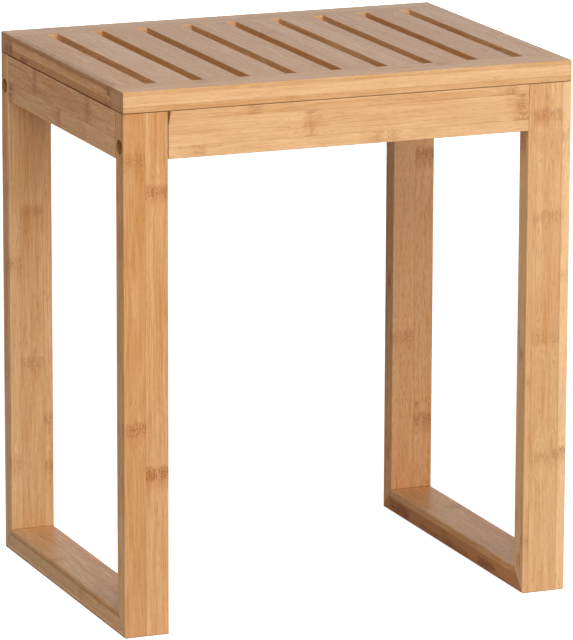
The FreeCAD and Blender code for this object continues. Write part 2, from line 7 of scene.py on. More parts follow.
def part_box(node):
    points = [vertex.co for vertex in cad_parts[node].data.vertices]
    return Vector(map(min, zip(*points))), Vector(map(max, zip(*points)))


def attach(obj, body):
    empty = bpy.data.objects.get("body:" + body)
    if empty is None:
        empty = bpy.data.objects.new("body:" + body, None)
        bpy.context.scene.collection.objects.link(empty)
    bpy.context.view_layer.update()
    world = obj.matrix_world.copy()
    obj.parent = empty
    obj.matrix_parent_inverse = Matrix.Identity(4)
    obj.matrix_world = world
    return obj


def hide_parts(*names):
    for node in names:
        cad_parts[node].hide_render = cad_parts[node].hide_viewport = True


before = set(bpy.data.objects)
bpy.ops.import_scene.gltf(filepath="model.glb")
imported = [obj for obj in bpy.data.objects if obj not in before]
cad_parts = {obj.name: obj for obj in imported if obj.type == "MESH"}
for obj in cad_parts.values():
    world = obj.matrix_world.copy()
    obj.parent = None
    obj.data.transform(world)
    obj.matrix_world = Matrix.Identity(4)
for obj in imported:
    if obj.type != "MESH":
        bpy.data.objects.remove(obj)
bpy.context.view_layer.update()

# A shower stool of laminated bamboo. The boards are the frame's own; here they get their
# grain, knuckles, glue lines and varnish. Bolts, nuts, screws and dowels are made again with
# threads, sockets and flutes.

scene = bpy.context.scene
mm = 0.001
print("frame:", len(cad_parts), "nodes")


def linear(hexText):
    # sRGB hex to the linear values that a shader takes
    channels = [int(hexText[i:i + 2], 16) / 255 for i in (1, 3, 5)]
    return [c / 12.92 if c <= 0.04045 else ((c + 0.055) / 1.055) ** 2.4 for c in channels] + [1]


def addNode(tree, kind, inputs=None, out=0, **settings):
    # adds a node with its settings and links, and gives one of its outputs, or with out=None the node
    node = tree.nodes.new(kind)
    for name, value in settings.items():
        setattr(node, name, value)
    for key, value in (inputs or {}).items():
        if isinstance(value, bpy.types.NodeSocket):
            tree.links.new(value, node.inputs[key])
        else:
            node.inputs[key].default_value = value
    return node if out is None else node.outputs[out]


def calc(tree, operation, *values, clamp=False):
    # a sum on up to three values or sockets
    return addNode(
        tree, "ShaderNodeMath", dict(enumerate(values)), operation=operation, use_clamp=clamp)


def ramp(tree, value, low, high, first=0, last=1, curve="SMOOTHSTEP"):
    # goes from first to last as the value goes from low to high
    return addNode(
        tree, "ShaderNodeMapRange",
        {"Value": value, "From Min": low, "From Max": high, "To Min": first, "To Max": last},
        interpolation_type=curve)


def blend(tree, amount, first, second):
    return addNode(
        tree, "ShaderNodeMix", {0: amount, 6: first, 7: second}, out=2, data_type="RGBA")


def startMaterial(name):
    material = bpy.data.materials.new(name)
    material.use_nodes = True
    material.node_tree.nodes.clear()
    return material, material.node_tree


def endMaterial(tree, surface):
    addNode(tree, "ShaderNodeOutputMaterial", {"Surface": surface}, out=None)


def finishPiece(node, material):
    # a node of the frame that keeps its mesh gets its look
    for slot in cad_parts[node].material_slots:
        slot.material = material


# Bamboo strips, pressed flat, steamed to a honey colour and edge-glued in three layers under
# satin varnish: long fine fibres, strips of slightly different tone, and every so often a
# knuckle, where the cane's joint crosses a strip as a band of short dark ticks. Sizes are in mm.
bamboo = {
    "pale": "#EBC090",
    "deep": "#C1854A",
    "amber": "#CE7F42",
    "fibre": "#8E5C30",
    "halo": "#B5703A",
    "knuckle": "#8A5029",
    "glue": "#7D4D27",
    "endGrain": "#916043",
    "jointShade": "#5A2608",  # painted shade in the narrow groove where two boards meet
    "knuckleGap": 150,  # the least from one stray knuckle to the next
    "knuckleGapSpread": 120,
    # counted from the middle of a knuckle: where its ticks thin out, where the fibres lie
    # straight again, and where its stain rises on one side and fades on the other
    "tickBand": (2.8, 8),
    "bentBand": (3, 26.4),
    "stainRise": (-22, 0),
    "stainFade": (1, 8.8),
    "wander": 4,
    "swirl": 1.6,  # how far the fibres splay at a knuckle
    "sway": 3,  # and how far they stray elsewhere
    "curlStep": 0.075,  # from one loop of a curl to the next, as a change in its noise
    "curlLine": (0.006, 0.03),
    "ridgeLine": (0.3, 0.9),
    "glueLine": (0.1, 0.35),
    "sandedEdgeAndHighlight": (0.4, 1.6),
    "stripStep": 3.7,  # between the noises of neighbouring strips
    "noiseRoughness": 0.55,
    "ior": 1.5,
}
# Noises drawn out along the grain: width and length, detail, a number that sets each apart from
# the others, and the values between which it rises from nothing to full.
bambooNoises = {
    "wander": (6, 400, 1, 11),
    "splay": (4, 400, 0, 23),
    "sway": (30, 110, 0, 31),
    "drift": (14, 80, 1, 61),
    "curl": (5, 7, 1, 83),  # small loops that the fibres make as they pass a knuckle
    "fine": (0.9, 38, 3, 0, 0.3, 0.7),  # the real fibres are 0.3 to 0.6 wide, and would not show
    "hair": (0.6, 7, 1, 8, 0.5, 0.72),
    "streak": (4.5, 170, 2, 5, 0.3, 0.7),
    "amber": (2.6, 110, 2, 67, 0.55, 0.72),
    "tick": (0.85, 7, 1, 17, 0.5, 0.64),
    "ridge": (2.5, 400, 1, 71, 0.42, 0.56),
    "pores": (0.9, 40, 2, 41, 0.4, 0.62),
    "wearAndHighlight": (6, 25, 2, 53, 0.3, 0.7),
}
# How much each of them counts.
bambooShares = {
    "strip": 0.3, "drift": 0.5, "streak": 0.18, "fine": 0.42,  # in the tone: 0 is pale, 1 is deep
    "tick": 0.55, "curl": 0.8, "ridge": 0.6,  # in the marks of a knuckle
    "amber": 0.22, "hair": 0.3, "stain": 0.14, "stainStreak": 0.3, "mark": 0.6,  # of its own colour
    "glue": 0.22, "pores": 0.5, "end": 0.6, "wearAndHighlight": 0.35,
}
# Narrow sides are only sanded, so they shine less than the wide faces.
bambooRoughness = {"plain": 0.33, "fine": 0.08, "mark": 0.12, "end": 0.35, "jointShade": 0.6, "side": 0.22}
bambooRelief = {"fine": 0.035, "dip": -0.03}  # mm


def startGroup(name, inputs, outputs):
    tree = bpy.data.node_groups.new(name, "ShaderNodeTree")
    for label in inputs:
        tree.interface.new_socket(label, in_out="INPUT", socket_type="NodeSocketFloat")
    for label, kind in outputs.items():
        tree.interface.new_socket(label, in_out="OUTPUT", socket_type=f"NodeSocket{kind}")
    given = addNode(tree, "NodeGroupInput", out=None).outputs
    result = addNode(tree, "NodeGroupOutput", out=None).inputs
    return tree, given, result


def makeStrayKnuckles():
    # place in mm along the grain past the nearest knuckle, for a strip with no list of its own
    tree, given, result = startGroup(
        "strayKnuckles", ("Along", "Cell"), {"Past": "Float", "Force": "Float"})
    dice = addNode(
        tree, "ShaderNodeTexWhiteNoise", {"W": given["Cell"]}, out=1, noise_dimensions="1D")
    spread = addNode(tree, "ShaderNodeSeparateColor", {0: dice}, out=None).outputs
    period = calc(
        tree, "MULTIPLY_ADD", spread[0], bamboo["knuckleGapSpread"], bamboo["knuckleGap"])
    start = calc(tree, "MULTIPLY", spread[1], period)
    place = calc(tree, "ADD", given["Along"], start)
    past = calc(tree, "FLOORED_MODULO", place, period)
    half = calc(tree, "MULTIPLY", period, 0.5)
    tree.links.new(calc(tree, "SUBTRACT", past, half), result["Past"])
    # the force of a knuckle is how strong it shows, and its sign is the side that it stains;
    # here it takes one of five values
    tree.links.new(ramp(tree, spread[2], 0, 1, -1, 1, curve="STEPPED"), result["Force"])
    return tree


def makeBambooGrain():
    # colour, roughness and relief from a place in a board, all in mm
    tree, given, result = startGroup(
        "bambooGrain",
        ("Across", "Through", "Along", "Cell", "Knuckle", "Force", "Seam", "Edge", "End", "Side",
            "ToneAndPaintedLight", "Grain", "Warm", "StainAndShade", "JointShade"),
        {"Color": "Color", "Roughness": "Float", "Height": "Float"})
    across, through, along, cell = (given[n] for n in ("Across", "Through", "Along", "Cell"))

    def product(first, second):
        return calc(tree, "MULTIPLY", first, second)

    def addShare(value, share, rest, clamp=False):
        return calc(tree, "MULTIPLY_ADD", value, share, rest, clamp=clamp)

    def noise(name, sideways):
        # different in every strip
        width, length, detail, lane, *rise = bambooNoises[name]
        place = addNode(tree, "ShaderNodeCombineXYZ", {
            0: product(sideways, 1 / width), 1: product(through, 1 / width),
            2: product(along, 1 / length),
        })
        value = addNode(
            tree, "ShaderNodeTexNoise",
            {
                "Vector": place, "W": addShare(cell, bamboo["stripStep"], lane), "Scale": 1,
                "Detail": detail, "Roughness": bamboo["noiseRoughness"],
            },
            noise_dimensions="4D")
        return ramp(tree, value, *rise) if rise else value

    def mix(amount, colour, name):
        return blend(tree, amount, colour, linear(bamboo[name]))

    # a knuckle wanders a little as it crosses its strip, and stains the wood on one side of it
    wandered = addShare(noise("wander", across), bamboo["wander"], given["Knuckle"])
    fromKnuckle = calc(tree, "SUBTRACT", wandered, bamboo["wander"] / 2)
    away = calc(tree, "ABSOLUTE", fromKnuckle)
    strength = calc(tree, "ABSOLUTE", given["Force"])
    behind = product(fromKnuckle, calc(tree, "SIGN", given["Force"]))
    band = ramp(tree, away, *bamboo["tickBand"], 1, 0)
    near = ramp(tree, away, *bamboo["bentBand"], 1, 0)
    stain = product(
        ramp(tree, behind, *bamboo["stainRise"]), ramp(tree, behind, *bamboo["stainFade"], 1, 0))

    # fibres splay out from a knuckle and sway slowly elsewhere
    splay = calc(tree, "SUBTRACT", noise("splay", across), 0.5)
    splay = product(product(splay, near), product(away, bamboo["swirl"]))
    sway = addShare(noise("sway", across), bamboo["sway"], splay)
    bent = calc(tree, "ADD", across, sway)

    shares = bambooShares
    fine, streak, amber, hair, tick = (
        noise(name, bent) for name in ("fine", "streak", "amber", "hair", "tick"))
    ridge = product(ramp(tree, away, *bamboo["ridgeLine"], 1, 0), noise("ridge", across))
    curl = calc(tree, "PINGPONG", noise("curl", bent), bamboo["curlStep"])
    curl = ramp(tree, curl, *bamboo["curlLine"], 1, 0)
    mark = calc(tree, "MAXIMUM", product(tick, shares["tick"]), product(curl, shares["curl"]))
    mark = calc(tree, "MAXIMUM", product(band, mark), product(ridge, shares["ridge"]))
    mark = product(mark, strength)

    dice = addNode(tree, "ShaderNodeTexWhiteNoise", {"W": cell}, noise_dimensions="1D")
    depth = addShare(dice, shares["strip"], -shares["strip"] / 2)
    depth = addShare(noise("drift", across), shares["drift"], depth)
    depth = addShare(streak, shares["streak"], depth)
    depth = addShare(product(fine, given["Grain"]), shares["fine"], depth)
    depth = calc(tree, "ADD", given["ToneAndPaintedLight"], depth, clamp=True)
    colour = mix(depth, linear(bamboo["pale"]), "deep")
    colour = mix(addShare(amber, shares["amber"], given["Warm"]), colour, "amber")
    hairs = product(hair, given["Grain"])
    colour = mix(product(hairs, shares["hair"]), colour, "fibre")
    stained = product(addShare(streak, shares["stainStreak"], shares["stain"]), strength)
    colour = mix(product(stain, stained), colour, "halo")
    colour = mix(product(mark, shares["mark"]), colour, "knuckle")

    glueLine = ramp(tree, given["Seam"], *bamboo["glueLine"], 1, 0)
    colour = mix(product(glueLine, shares["glue"]), colour, "glue")
    # stains from the patches and the bolt recess, and painted shade where a patch stands for it
    colour = mix(given["StainAndShade"], colour, "knuckle")
    # the open ends of the fibres soak up more varnish and show as dots
    pores = product(noise("pores", across), shares["pores"])
    endTone = mix(pores, linear(bamboo["endGrain"]), "fibre")
    colour = blend(tree, product(given["End"], shares["end"]), colour, endTone)
    # edges a shade paler: partly sanded wear, partly a painted highlight on the eased edges
    wearAndHighlight = product(
        ramp(tree, given["Edge"], *bamboo["sandedEdgeAndHighlight"], 1, 0), noise("wearAndHighlight", across))
    colour = mix(product(wearAndHighlight, shares["wearAndHighlight"]), colour, "pale")
    # painted shade in the seams where the board meets another
    colour = mix(given["JointShade"], colour, "jointShade")
    tree.links.new(colour, result["Color"])

    rough = bambooRoughness["plain"]
    features = {"fine": fine, "mark": mark, "end": given["End"], "jointShade": given["JointShade"]}
    for name, value in features.items():
        rough = addShare(value, bambooRoughness[name], rough)
    rough = addShare(given["Side"], bambooRoughness["side"], rough, clamp=True)
    tree.links.new(rough, result["Roughness"])

    # raised grain under the varnish, and a hairline dip at each hair, mark and glue line
    relief = product(fine, bambooRelief["fine"])
    for value in (hairs, mark, glueLine):
        relief = addShare(value, bambooRelief["dip"], relief)
    tree.links.new(relief, result["Height"])
    return tree


strayKnuckles = makeStrayKnuckles()
bambooGrain = makeBambooGrain()
print("bamboo: grain and knuckles ready")

# How each kind of board lies: its grain, its wide face and its thickness, whether the thickness
# is counted from the low or the high side, and where it meets other boards: (axis, side, depth
# at which the painted shade of the seam starts, depth at which it is full), in mm.
lies = {
    "leg": {
        "along": "Z", "across": "X", "through": "Y", "from": "low",
        "meets": (("Z", "high", 0.35, 0.1),), "gloss": 0.3,
    },
    "longApron": {
        "along": "X", "across": "Z", "through": "Y", "from": "low",
        "meets": (("Z", "high", 0.5, 0.1), ("X", "low", 0.5, 0.1), ("X", "high", 0.35, 0.05)),
        "gloss": 0.3,
    },
    "sideApron": {
        "along": "Y", "across": "Z", "through": "X", "from": "low",
        "meets": (("Z", "high", 0.95, 0.5),), "gloss": 0.08,
    },
    "footRail": {
        "along": "Y", "across": "X", "through": "Z", "from": "high", "meets": (), "gloss": 0.3,
    },
    "seatRail": {
        "along": "X", "across": "Y", "through": "Z", "from": "high",
        "meets": (("Z", "low", 0.5, 0.2),), "gloss": 0.4,
    },
    "slat": {
        "along": "Y", "across": "X", "through": "Z", "from": "high",
        "meets": (("Z", "low", 0.8, 0.5),), "gloss": 0.5,
    },
    "tongue": {
        "along": "X", "across": "Y", "through": "Z", "from": "high", "meets": (), "gloss": 0.3,
    },
}

# What is particular to a board, in mm. Strips: where they meet in the first layer, counted across
# it; layers: where those meet, counted from the wide face. Knuckles are those of the first layer,
# as (strip, place along the grain, force), and a board with no list gets them at random; faint
# makes those weaker. A tone above 0 is deeper, below 0 paler: of the board, of one strip or of
# one layer, and deepens adds some per 100 mm along the grain. Grain is how strongly the fibres
# show, and warm how orange they are. A patch darkens a box by its shade, or shifts the tone there,
# and fades out around it; a blot is one with a ragged outline. Most patches are stains and tones
# of the wood; those marked below are painted light or shade.
leftFace = (-203, -200)  # where the faces lie that carry patches
seatFace, seatSide = (-201, -199), (-205, -195)  # the second takes in the rounded edges
innerFace = (155, 169)
boards = {
    "left_front_leg": {
        "kind": "leg", "strips": (19,), "tone": 0.22, "deepens": 0.04,
        "stripTones": {0: 0.03, 1: -0.03}, "grain": 0.85,
        "knuckles": ((0, 403, 0.9), (0, 178, 1.1), (1, 376, 1.2), (1, 139, 1.8)),
        "patches": (
            # paler low on the left face: painted light from the floor
            {"X": leftFace, "Z": (-5, 100), "tone": -0.18, "fade": 2},
            # darker high on the left face, under the seat: painted shade
            {"X": leftFace, "Y": (-155, -141), "Z": (290, 450), "shade": 0.1, "fade": 2},
            {"X": leftFace, "Y": (-149, -140), "Z": (324, 348), "shade": 0.28, "fade": 2},
            {"X": leftFace, "Y": (-149, -140), "Z": (122, 132), "shade": 0.14, "fade": 2},
        ),
    },
    "right_front_leg": {
        "kind": "leg", "strips": (5, 31), "tone": -0.07, "deepens": 0.03,
        "stripTones": {1: 0.06, 2: -0.5}, "grain": 0.85,
        "knuckles": (
            (0, 186, 0.6), (0, 46, 0.7), (1, 415, 0.9), (1, 395, 0.2), (1, 328, 0.5), (1, 222, -0.4),
            (1, 119, 0.5), (2, 395, 0.5), (2, 275, 0.4), (2, 121, 0.9),
        ),
    },
    "left_back_leg": {
        "kind": "leg", "strips": (10, 31), "tone": -0.12, "deepens": 0.07,
        "knuckles": (
            (1, 303, 0.8), (0, 259, 0.7), (1, 169, 0.6), (2, 118, 0.8), (0, 80, 0.6), (2, 75, 0.9),
        ),
        "patches": (
            # paler low on the left face: painted light from the floor
            {"X": leftFace, "Z": (-5, 110), "tone": -0.15, "fade": 2},
            {"X": leftFace, "Y": (130, 141), "Z": (335, 450), "tone": -0.15, "fade": 2},
            # darker at the top, under the apron and seat: painted shade
            {"X": (-198, -160), "Z": (330, 450), "shade": 0.1, "fade": 8},
        ),
    },
    "right_back_leg": {
        "kind": "leg", "strips": (21,), "tone": -0.18, "deepens": -0.12,
        "stripTones": {0: 0.02, 1: -0.12}, "warm": 0.4, "grain": 1.5,
        "knuckles": ((1, 327, 1.2), (1, 84, 1.0), (0, 161, 0.6)),
    },
    "front_apron": {
        "kind": "longApron", "strips": (10, 32), "tone": -0.05, "grain": 0.75, "warm": -0.1,
        "knuckles": (
            (2, -85, 0.7), (2, 145, 0.9), (1, -36, -0.7), (1, 155, 1.0), (0, -134, 0.6), (0, 24, 0.7),
            (0, 38, 0.5),
        ),
        "wedge": {"width": 2.3, "height": 13},  # painted shade of the gap at its sawn left end
    },
    "back_apron": {"kind": "longApron", "strips": (16,), "tone": 0.1},
    "left_side_apron": {
        "kind": "sideApron", "strips": (17,), "tone": 0.0, "grain": 1.5, "warm": 0.16,
        "knuckles": ((1, 64, 1.2), (0, 5, -1.0), (0, 126, 1.5), (1, -66, 1.0)),
        "patches": ({"Y": (-133, -66), "tone": -0.15},),
    },
    "right_side_apron": {"kind": "sideApron", "strips": (20,), "tone": 0.1},
    "left_foot_rail": {
        "kind": "footRail", "strips": (15,), "tone": 0.0, "deepens": -0.12, "warm": 0.04,
        "stripTones": {1: 0.12}, "grain": 1.3,
        "layers": (3, 5.5, 12), "layerTones": (0, 0.1, -0.8, -0.6),
        "knuckles": ((0, 30, 0.6),),
        "patches": (
            # dark along the bottom edge at the floor: painted contact shadow
            {"X": (-202, -196), "Z": (-1, 1.5), "shade": 1, "fade": 0.8},
            {"X": (-202, -198), "Z": (14.7, 16.5), "shade": 0.35},
            {"X": (-202, -198), "Z": (6, 7), "shade": 0.3, "fade": 1.5, "blot": True},
            # darker on the top just behind the front leg: painted shadow of the leg
            {"X": (-197, -180), "Y": (-132, -125), "Z": (18, 21), "shade": 0.5, "fade": 6},
        ),
    },
    "right_foot_rail": {
        "kind": "footRail", "strips": (22,), "tone": 0.2, "deepens": -0.1, "warm": 0.05,
        "layers": (6.5, 10, 15), "layerTones": (0, 0.6, 0.7, 0.9), "grain": 1.4,
        "knuckles": ((1, 60, 0.6),),
        "patches": (
            {"X": (159, 165), "Z": (-1, 13), "shade": 0.3, "fade": 1},
            # dark along the bottom edge at the floor: painted contact shadow
            {"X": (159, 165), "Z": (-1, 2), "shade": 0.7, "fade": 1},
            {"X": innerFace, "Y": (-85, -65), "Z": (4, 8), "shade": 1, "fade": 6, "blot": True},
            {"X": innerFace, "Y": (100, 125), "Z": (4, 9), "shade": 1, "fade": 6, "blot": True},
            {"X": innerFace, "Y": (-30, 60), "Z": (2, 5), "shade": 0.7, "fade": 5, "blot": True},
            # darker on the top just behind the front leg: painted shadow of the leg
            {"X": (180, 195), "Y": (-130, -120), "Z": (17, 21), "shade": 0.2, "fade": 6},
        ),
    },
    "seat_front_rail": {
        "kind": "seatRail", "strips": (16,), "layers": (3.5, 13), "tone": 0.02, "deepens": -0.03,
        "layerTones": (0.22, -0.1, 0), "grain": 0.75, "warm": -0.1,
        "patches": (
            {"X": seatFace, "Y": (-122, -119), "shade": 0.35},
            {"X": (0, 37), "Y": (-151, -149), "Z": (441, 445), "shade": 0.12},
        ),
    },
    "seat_back_rail": {
        "kind": "seatRail", "strips": (14,), "tone": 0.0, "grain": 1.2,
        "patches": (
            {"X": seatFace, "Y": (119, 139), "Z": (441, 451), "shade": 0.55, "fade": 0.6},
            {"X": seatFace, "Y": (119, 126), "Z": (445, 451), "shade": 0.9},
            # paler on the rail's front wall at the far end of each slot: painted light
            {"Y": (119, 121), "Z": (442, 459.4), "tone": -0.35},
        ),
    },
}
for number in range(10):
    boards[f"seat_slat_{number + 1:02d}"] = {
        "kind": "slat", "strips": (8 + (number * 7) % 15,), "tone": 0.2 + 0.03 * (number % 3),
        "faint": 0.5, "grain": 1.3,
    }
boards["seat_slat_01"] |= {
    "gloss": 0.3,
    "layers": (4, 11.5), "layerTones": (0.15, -0.35, 0.25),
    "patches": (
        # the left side deeper in tone: painted shade
        {"X": seatFace, "tone": 0.15},
        {"X": seatSide, "Z": (456.5, 461), "shade": 0.6, "fade": 3, "blot": True},
        {"X": seatFace, "Z": (441, 448), "shade": 0.22, "fade": 0.8},
        {"X": seatFace, "Y": (-119, -20), "Z": (441, 444.5), "shade": 0.4, "fade": 1.5},
        {"X": seatSide, "Y": (84, 96), "Z": (441, 445), "shade": 0.9, "fade": 3, "blot": True},
        {"X": seatFace, "Y": (-119, -112), "Z": (451, 461), "shade": 0.85},
        {"X": seatFace, "Y": (-116, -108), "Z": (442, 446), "shade": 0.7},
    ),
}

recess = {"boltHead": 5, "fade": (6.3, 5.9), "dark": 0.8}  # mm from the bolt's axis
mitre = {"fade": (0.5, 0.15), "dark": 0.5}  # mm to either side of its line, over which its painted shade fades
# how dark the painted shade in a seam grows
jointShadeStrength = 0.85
wedgeFade = 0.4  # mm
blot = {"width": 3, "length": 16, "ragged": 1.6, "rise": (1.0, 1.9)}  # mm, then unitless
patchFade = {"usual": 0.3, "alongGrain": 4}  # mm, and how many times as far along the grain
usualLayers = (5.5, 12)
layerShift = 7.5  # mm by which each deeper layer's joints are staggered
farAway = 2000  # mm, no knuckle near
turnedAway = (0.75, 0.9)  # how squarely a face looks along an axis to count as an end or a side


def makeBambooBoard(name, board, seed):
    # one material for each board, because each has its own strips and knuckles
    low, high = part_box(name)
    lie = lies[board["kind"]]
    material, tree = startMaterial(f"bamboo_{name}")
    coordinates = addNode(tree, "ShaderNodeTexCoord", out=None).outputs
    place = addNode(tree, "ShaderNodeSeparateXYZ", {0: coordinates["Object"]}, out=None).outputs
    millimetres = {axis: calc(tree, "MULTIPLY", place[axis], 1 / mm) for axis in "XYZ"}
    along = millimetres[lie["along"]]

    def fromSide(axisName, side):
        # mm from one side of the board, and its size that way
        axis = "XYZ".index(axisName)
        sign, start = (1, low[axis]) if side == "low" else (-1, high[axis])
        value = calc(tree, "MULTIPLY_ADD", place[axisName], sign / mm, -sign * start / mm)
        return value, (high[axis] - low[axis]) / mm

    across, width = fromSide(lie["across"], "low")
    through, thickness = fromSide(lie["through"], lie["from"])

    def count(value, seams):
        # how many seams lie before a place, and how near the nearest one is
        index, nearest = 0.0, farAway
        for seam in seams:
            passed = calc(tree, "GREATER_THAN", value, seam)
            index = calc(tree, "ADD", index, passed)
            gap = calc(tree, "ABSOLUTE", calc(tree, "SUBTRACT", value, seam))
            nearest = calc(tree, "MINIMUM", nearest, gap)
        return index, nearest

    layer, layerSeam = count(through, board.get("layers", usualLayers))
    staggered = calc(tree, "MULTIPLY_ADD", layer, layerShift, across)
    strip, stripSeam = count(staggered, board["strips"])
    seam = calc(tree, "MINIMUM", layerSeam, stripSeam)
    # ten times the layer plus the strip, and a hundred more for each board
    cell = calc(tree, "MULTIPLY_ADD", layer, 10, strip)
    ownCell = calc(tree, "ADD", cell, 100 * seed)

    stray = addNode(
        tree, "ShaderNodeGroup", {"Along": along, "Cell": ownCell}, out=None,
        node_tree=strayKnuckles).outputs
    knuckle = stray["Past"]
    force = calc(tree, "MULTIPLY", stray["Force"], board.get("faint", 1))
    if "knuckles" in board:
        firstLayer = calc(tree, "LESS_THAN", layer, 0.5)
        knuckle = calc(tree, "MULTIPLY_ADD", firstLayer, farAway, knuckle)
        for stripNumber, middle, strength in board["knuckles"]:
            offset = calc(tree, "SUBTRACT", along, middle)
            same = calc(tree, "COMPARE", cell, stripNumber, 0.5)
            other = calc(tree, "SUBTRACT", 1, same)
            offset = calc(tree, "MULTIPLY_ADD", other, farAway, offset)
            # of the two, the one nearer to nought
            sizes = [calc(tree, "ABSOLUTE", value) for value in (offset, knuckle)]
            closer = calc(tree, "LESS_THAN", *sizes)
            knuckle = addNode(tree, "ShaderNodeMix", {0: closer, 2: knuckle, 3: offset})
            force = addNode(tree, "ShaderNodeMix", {0: closer, 2: force, 3: strength})

    def rim(value, size):
        # distance to the nearer side of the board
        return calc(tree, "MINIMUM", value, calc(tree, "SUBTRACT", size, value))

    edge = calc(tree, "MAXIMUM", rim(across, width), rim(through, thickness))
    normal = addNode(tree, "ShaderNodeSeparateXYZ", {0: coordinates["Normal"]}, out=None).outputs
    isEnd, isSide = (
        ramp(tree, calc(tree, "ABSOLUTE", normal[lie[way]]), *turnedAway, curve="LINEAR")
        for way in ("along", "across"))

    tone = calc(tree, "MULTIPLY_ADD", along, board.get("deepens", 0) / 100, board["tone"])
    shades = [(cell, index, shade) for index, shade in board.get("stripTones", {}).items()]
    shades += [(layer, index, shade) for index, shade in enumerate(board.get("layerTones", ()))]
    for counted, index, shade in shades:
        same = calc(tree, "COMPARE", counted, index, 0.5)
        tone = calc(tree, "MULTIPLY_ADD", same, shade, tone)

    # a blot has a ragged outline, drawn out along the grain
    raggedScale = [1 / blot["length" if axis == lie["along"] else "width"] / mm for axis in "XYZ"]
    ragged = addNode(
        tree, "ShaderNodeMapping", {"Vector": coordinates["Object"], "Scale": raggedScale})
    ragged = addNode(tree, "ShaderNodeTexNoise", {"Vector": ragged, "Scale": 1, "Detail": 2})
    stain = 0.0
    # a patch is a stain or a tone of the wood, or painted light or shade where it is marked so
    for patch in board.get("patches", ()):
        inside = 1.0
        for axis in [letter for letter in "XYZ" if letter in patch]:
            first, last = patch[axis]
            half = (last - first) / 2
            fade = patch.get("fade", patchFade["usual"])
            if axis == lie["along"]:
                fade *= patchFade["alongGrain"]
            within = calc(tree, "SUBTRACT", millimetres[axis], first + half)
            within = ramp(tree, calc(tree, "ABSOLUTE", within), half, half + fade, 1, 0)
            inside = calc(tree, "MULTIPLY", inside, within)
        if patch.get("blot"):
            inside = calc(tree, "MULTIPLY_ADD", ragged, blot["ragged"], inside)
            inside = ramp(tree, inside, *blot["rise"])
        inside = calc(tree, "MULTIPLY", inside, patch.get("shade", patch.get("tone")))
        if "shade" in patch:
            stain = calc(tree, "MAXIMUM", stain, inside)
        else:
            tone = calc(tree, "ADD", tone, inside)

    def darken(value, first, last, amount, already):
        # rises to an amount between two values, on top of what is dark already
        dark = ramp(tree, value, first, last, 0, amount, curve="LINEAR")
        return calc(tree, "MAXIMUM", already, dark)

    if board["kind"] == "leg":
        # bare end grain and old varnish in the recess over the bolt
        first, last = (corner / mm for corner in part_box("connector_bolts"))
        boltY = first.y + recess["boltHead"] if low.y < 0 else last.y - recess["boltHead"]
        boltZ = (first.z + last.z) / 2
        flat = addNode(
            tree, "ShaderNodeCombineXYZ", {0: 0.0, 1: millimetres["Y"], 2: millimetres["Z"]})
        fromBolt = addNode(
            tree, "ShaderNodeVectorMath", {0: flat, 1: (0, boltY, boltZ)}, out="Value",
            operation="DISTANCE")
        stain = darken(fromBolt, *recess["fade"], recess["dark"], stain)

    # painted shade along each seam where the board meets another
    jointShade = 0.0
    for axis, side, start, full in lie["meets"]:
        end, inwards = (low, 1) if side == "low" else (high, -1)
        end = end["XYZ".index(axis)] / mm
        jointShade = darken(
            millimetres[axis], end + inwards * start, end + inwards * full, jointShadeStrength, jointShade)
    if board["kind"] in ("leg", "footRail"):
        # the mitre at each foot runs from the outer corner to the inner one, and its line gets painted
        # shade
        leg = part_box("left_front_leg")
        run = (leg[1].y - leg[0].y) / mm
        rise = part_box("left_foot_rail")[1].z / mm
        size = math.hypot(run, rise)
        gap = calc(
            tree, "MULTIPLY_ADD", calc(tree, "ABSOLUTE", millimetres["Y"]), -rise / size,
            -leg[0].y / mm * rise / size)
        gap = calc(tree, "MULTIPLY_ADD", millimetres["Z"], -run / size, gap)
        jointShade = darken(calc(tree, "ABSOLUTE", gap), *mitre["fade"], mitre["dark"], jointShade)
    if "wedge" in board:
        # the left end is sawn a little out of square, so the joint gapes at the top; the gap's shade
        # is painted
        wedge = board["wedge"]
        slope = wedge["width"] / wedge["height"]
        offset = wedge["width"] + low.x / mm - slope * high.z / mm
        gape = calc(tree, "MULTIPLY_ADD", millimetres["Z"], -slope, millimetres["X"])
        jointShade = darken(gape, offset + wedgeFade, offset, jointShadeStrength, jointShade)

    grain = addNode(
        tree, "ShaderNodeGroup",
        {
            "Across": across, "Through": through, "Along": along, "Cell": ownCell,
            "Knuckle": knuckle, "Force": force, "Seam": seam, "Edge": edge, "End": isEnd,
            "Side": isSide, "ToneAndPaintedLight": tone, "StainAndShade": stain, "JointShade": jointShade,
            "Grain": board.get("grain", 1), "Warm": board.get("warm", 0),
        },
        out=None, node_tree=bambooGrain).outputs
    bump = addNode(
        tree, "ShaderNodeBump", {"Height": grain["Height"], "Strength": 1, "Distance": mm},
        out="Normal")
    shader = addNode(
        tree, "ShaderNodeBsdfPrincipled",
        {
            "Base Color": grain["Color"], "Roughness": grain["Roughness"], "Normal": bump,
            "IOR": bamboo["ior"], "Specular IOR Level": board.get("gloss", lie["gloss"]),
        })
    endMaterial(tree, shader)
    return material


tongues = {
    "left_mitre_tongues": {"kind": "tongue", "strips": (), "layers": (), "tone": 0.1},
    "right_mitre_tongues": {"kind": "tongue", "strips": (), "layers": (), "tone": 0.15},
}
for pieces, firstSeed in ((boards, 1), (tongues, 50)):
    for seed, (name, board) in enumerate(pieces.items(), start=firstSeed):
        finishPiece(name, makeBambooBoard(name, board, seed))
print("bamboo:", len(boards), "boards and", len(tongues), "pairs of tongues")


# Zinc-plated steel: dipped after turning, so it is even and bright, a little blue, with a
# faint crystal bloom, hairline scratches and dull smudges from handling. Sizes are in mm.
zincSteel = {
    "bright": "#C9CBCD",
    "dull": "#9A9A97",
    "smudge": "#7C756A",
    "bloomSize": 2.2,
    "bloomRoughness": 0.06,
    "smudgeSize": 7,
    "smudgeRange": (0.5, 0.72),
    "smudgeShare": 0.45,
    "smudgeRoughness": 0.2,
    "scratchWidth": 0.25,
    "scratchStretch": (1, 1, 0.08),
    "scratchDepth": 0.02,
    "roughness": 0.3,
}


